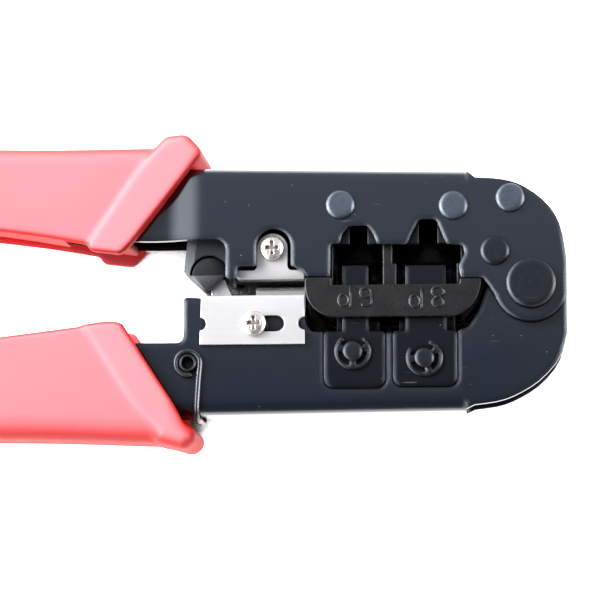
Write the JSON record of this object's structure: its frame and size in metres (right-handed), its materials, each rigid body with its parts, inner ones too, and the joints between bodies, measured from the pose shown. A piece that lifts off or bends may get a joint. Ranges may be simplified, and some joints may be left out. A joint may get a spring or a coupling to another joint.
{
  "type": "crimping tool",
  "caption": "Two-handled crimping tool for modular plugs, with die sockets, rising punches, stripping and cutting blades, and soft grips.",
  "frame": {"origin": "centre of the pivot rivet's back face, on the plane the tool rests on", "axes": "+X to the nose of the head, +Y to the upper handle, +Z out of the front side that carries the size marks"},
  "size_m": [0.195, 0.0633, 0.022],
  "materials": {
    "black_enamel": "semi-gloss black enamel on sheet steel",
    "die_finish": "satin black on sintered steel",
    "cast_black": "grainy black casting",
    "blackened_steel": "blackened steel",
    "blade_steel": "ground tool steel",
    "nickel": "bright nickel plate",
    "spring_wire": "black spring wire",
    "soft_grip": "soft satin moulded grip, salmon red"
  },
  "bodies": {
    "upper_handle": {"upper_frame": "black_enamel", "die_block": "die_finish", "pivot_rivet": "blackened_steel", "die_rivet_1": "blackened_steel", "die_rivet_2": "blackened_steel", "die_rivet_3": "blackened_steel", "die_rivet_4": "blackened_steel", "blade_holder": "cast_black", "stripping_blade_upper": "blade_steel", "cutting_blade_upper": "blade_steel", "screw_upper_blade": "nickel", "upper_grip": "soft_grip"},
    "lower_handle": {"lower_frame": "black_enamel", "pivot_bush": "nickel", "return_spring": "spring_wire", "punch_6p": "black_enamel", "punch_8p": "black_enamel", "punch_pin_6p": "blackened_steel", "punch_pin_8p": "blackened_steel", "ring_6p_front": "blackened_steel", "ring_6p_back": "blackened_steel", "ring_8p_front": "blackened_steel", "ring_8p_back": "blackened_steel", "stripping_blade_lower": "blade_steel", "cutting_blade_lower": "blade_steel", "round_stripping_blade": "blade_steel", "lower_blade_block": "cast_black", "screw_lower_blade": "nickel", "screw_block_back": "nickel", "spring_stud": "blackened_steel", "wire_clip": "spring_wire", "lower_grip": "soft_grip"}
  },
  "joints": [
    {"name": "handle_pivot", "type": "hinge", "parent": "upper_handle", "child": "lower_handle", "pos_m": [0, 0, 0.011], "axis": [0, 0, 1], "range_deg": [-3, 14]}
  ]
}
